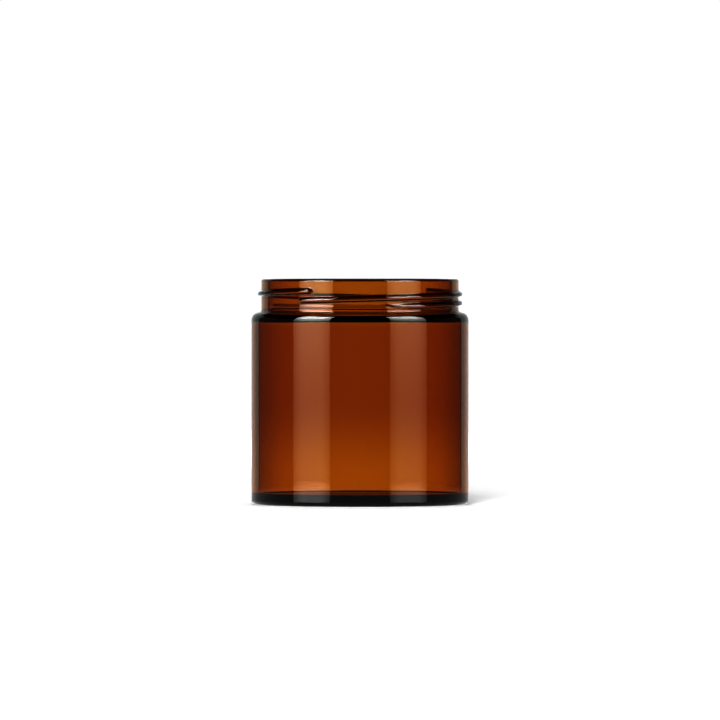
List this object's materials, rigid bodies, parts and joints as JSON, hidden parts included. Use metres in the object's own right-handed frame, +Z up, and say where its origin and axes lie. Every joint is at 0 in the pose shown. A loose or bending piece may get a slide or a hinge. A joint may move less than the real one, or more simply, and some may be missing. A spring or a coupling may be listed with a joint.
{
  "type": "cosmetic cream jar",
  "caption": "Straight-sided round amber glass cream jar with a rounded shoulder and a wide screw neck, shown open with no cap.",
  "frame": {"origin": "centre of the circle that the jar stands on", "axes": "+Z up along the jar's axis, out of its mouth; -Y is the front, where the upper thread ridge begins a little left of centre; +X is right"},
  "size_m": [0.06, 0.06, 0.0622],
  "materials": {
    "amber_glass": "clear brown amber glass, fire polished"
  },
  "bodies": {
    "root": {"glass_jar": "amber_glass"}
  },
  "joints": []
}
